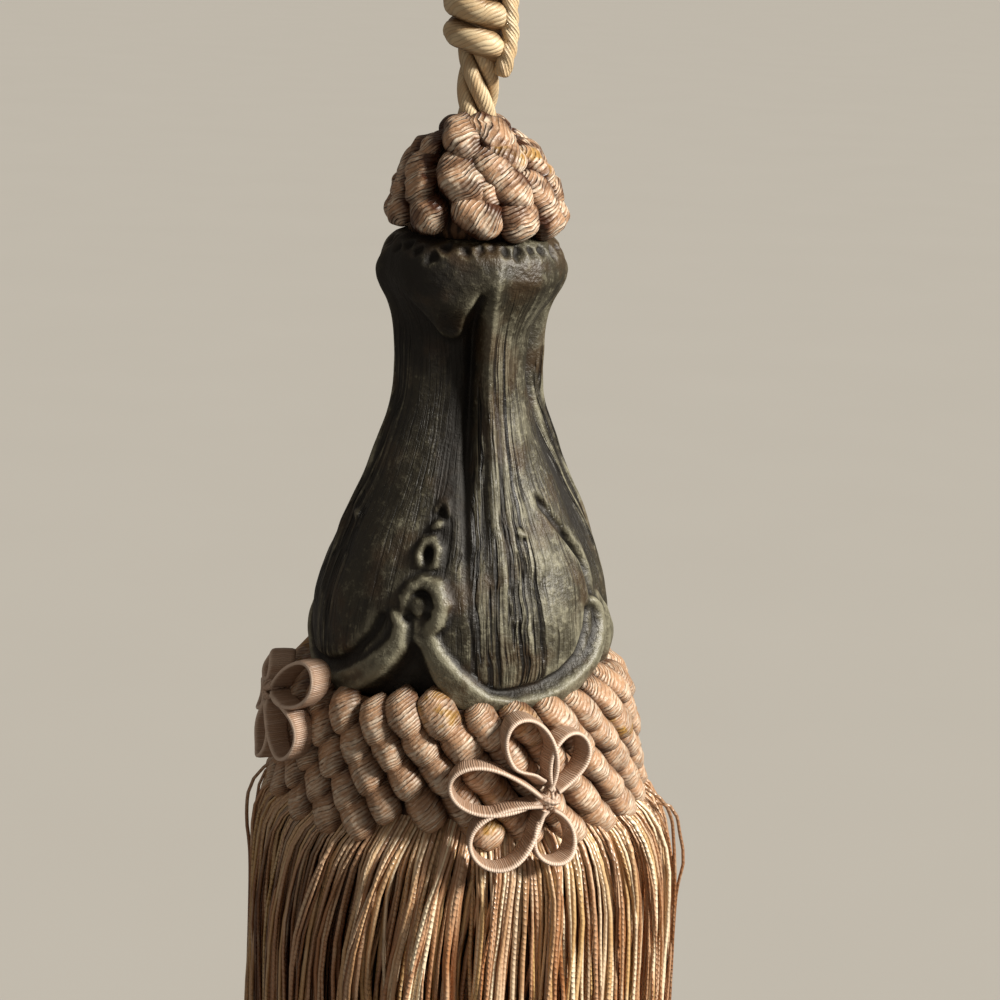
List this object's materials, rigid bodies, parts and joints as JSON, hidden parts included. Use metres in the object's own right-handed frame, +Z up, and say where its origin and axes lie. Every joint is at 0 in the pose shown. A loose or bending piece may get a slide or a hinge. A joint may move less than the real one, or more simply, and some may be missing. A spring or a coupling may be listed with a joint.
{
  "type": "curtain tieback tassel",
  "caption": "Hanging tassel with corded cap, vase-shaped moulded head, knotted ruff, looped gimp flowers and a long fringe skirt below a cord loop",
  "frame": {"origin": "The point at the top of the hanging loop where its inner side bears on the hook or rod that holds it.", "axes": "The tassel hangs down the Z axis, so +Z points up along its length. The gimp flower that the picture shows nearly face on stands 26 degrees to the right of -Y, seen from the front, and +X is to the right."},
  "size_m": [0.0992, 0.0988, 0.3999],
  "materials": {
    "cream_cord": "twisted satin cord",
    "rose_cord": "satin yarn wrapped over a thick core",
    "rose_gimp": "closely wrapped flat gimp",
    "bronze_resin": "moulded resin with a dark bronze patina",
    "gold_fringe": "shiny two-ply twisted fringe threads"
  },
  "bodies": {
    "root": {"hanging_loop": "cream_cord", "knot": "cream_cord", "neck_cord": "cream_cord", "rosette": "rose_cord", "head": "bronze_resin", "ruff": "rose_cord", "gimp_rosette_1": "rose_gimp", "gimp_rosette_2": "rose_gimp", "gimp_rosette_3": "rose_gimp", "gimp_rosette_4": "rose_gimp", "skirt": "gold_fringe"}
  },
  "joints": []
}
